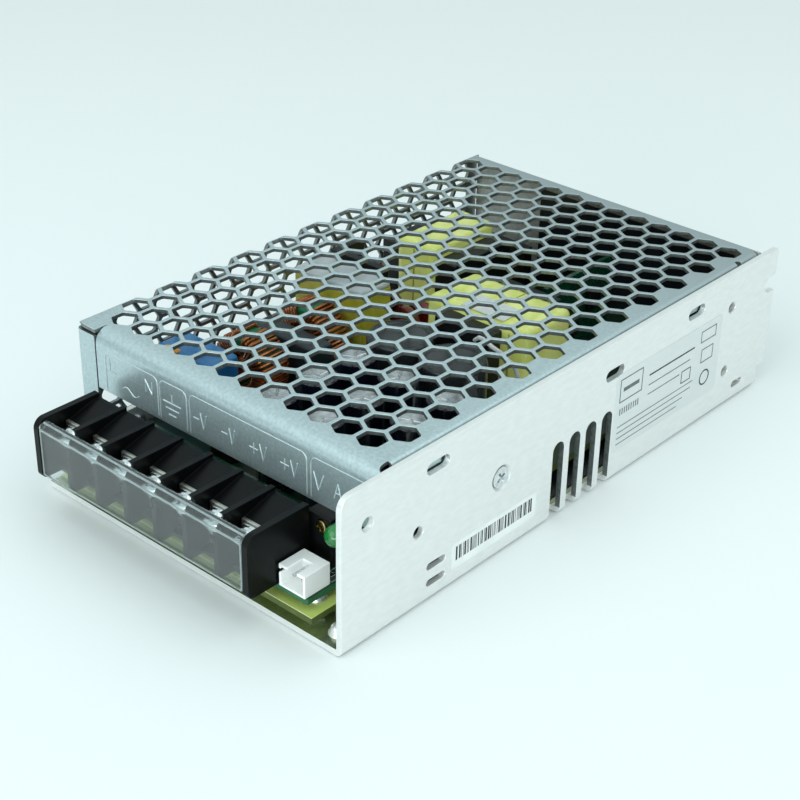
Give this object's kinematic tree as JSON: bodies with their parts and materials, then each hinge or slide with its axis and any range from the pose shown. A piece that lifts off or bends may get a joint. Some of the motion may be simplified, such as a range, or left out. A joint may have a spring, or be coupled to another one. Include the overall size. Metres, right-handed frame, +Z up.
{
  "type": "enclosed switching power supply",
  "caption": "Enclosed power supply: folded aluminium chassis with a hexagon-mesh steel cover, screw terminal block under a clear flip cover, boards and wound parts inside.",
  "frame": {"origin": "middle of the underside of the whole unit's box", "axes": "+X from the terminal block towards the rear of the case, +Y from the side plate with the rating label towards the mesh side, +Z up"},
  "size_m": [0.1664, 0.0972, 0.038],
  "materials": {
    "chassis_aluminium": "fine satin",
    "galvanised_steel": "galvanised",
    "screw_steel": "plated",
    "insulation_film": "semi-gloss film",
    "board_yellow_green": "laminate",
    "board_green": "solder resist",
    "black_plastic": "moulded satin",
    "tin_plate": "tinned",
    "clear_plastic": "clear moulded",
    "white_nylon": "moulded satin",
    "green_lens": "diffused lens",
    "brass_screw": "bright",
    "blue_case": "moulded",
    "slate_case": "moulded",
    "yellow_tape": "taped film",
    "green_coating": "epoxy coated",
    "enamelled_copper": "enamelled wire",
    "grey_sleeve": "shrink sleeve",
    "dark_sleeve": "shrink sleeve",
    "dark_red_epoxy": "dipped",
    "dark_case": "moulded",
    "ferrite": "sintered",
    "white_paper": "matt",
    "heatsink_aluminium": "mill",
    "heatsink_black": "satin black",
    "board_teal": "solder resist",
    "silver_label": "silvered polyester",
    "white_label": "matt"
  },
  "bodies": {
    "case": {"chassis": "chassis_aluminium", "mesh_cover": "galvanised_steel", "cover_screws": "screw_steel", "heatsink_screws": "screw_steel", "insulation_sheet": "insulation_film", "main_board": "board_yellow_green", "board_standoffs": "screw_steel", "board_screws": "screw_steel", "terminal_board": "board_green", "board_spacers": "black_plastic", "terminal_block": "black_plastic", "terminal_plates": "tin_plate", "wire_clamps": "tin_plate", "terminal_screws": "screw_steel", "header_housing": "white_nylon", "header_pins": "tin_plate", "status_led": "green_lens", "trimmer_body": "black_plastic", "line_capacitor": "blue_case", "filter_capacitor": "slate_case", "film_capacitor": "yellow_tape", "choke_bases": "black_plastic", "line_choke_core": "green_coating", "line_choke_winding": "enamelled_copper", "filter_choke_core": "green_coating", "filter_choke_winding": "enamelled_copper", "bulk_capacitors": "grey_sleeve", "output_capacitors": "dark_sleeve", "disc_capacitors": "dark_red_epoxy", "line_fuse": "dark_case", "bridge_rectifier": "dark_case", "boost_choke_core": "ferrite", "boost_choke_winding": "yellow_tape", "transformer_core": "ferrite", "transformer_winding": "yellow_tape", "transformer_tag": "white_paper", "output_heatsink": "heatsink_aluminium", "output_rectifiers": "dark_case", "line_heatsink": "heatsink_black", "power_transistors": "dark_case", "control_board": "board_teal", "control_ics": "dark_case", "rating_label": "silver_label", "serial_label": "white_label"},
    "terminal_flap": {"terminal_cover": "clear_plastic"},
    "trimmer_rotor": {"trimmer_screw": "brass_screw"}
  },
  "joints": [
    {"name": "terminal_flap_hinge", "type": "hinge", "parent": "case", "child": "terminal_flap", "pos_m": [-0.0815, 0.00461, 0.0222], "axis": [0, 1, 0], "range_deg": [0, 110]},
    {"name": "trimmer_turn", "type": "hinge", "parent": "case", "child": "trimmer_rotor", "pos_m": [-0.0628, -0.03124, 0.0182], "axis": [1, 0, 0], "range_deg": [-135, 135]}
  ]
}
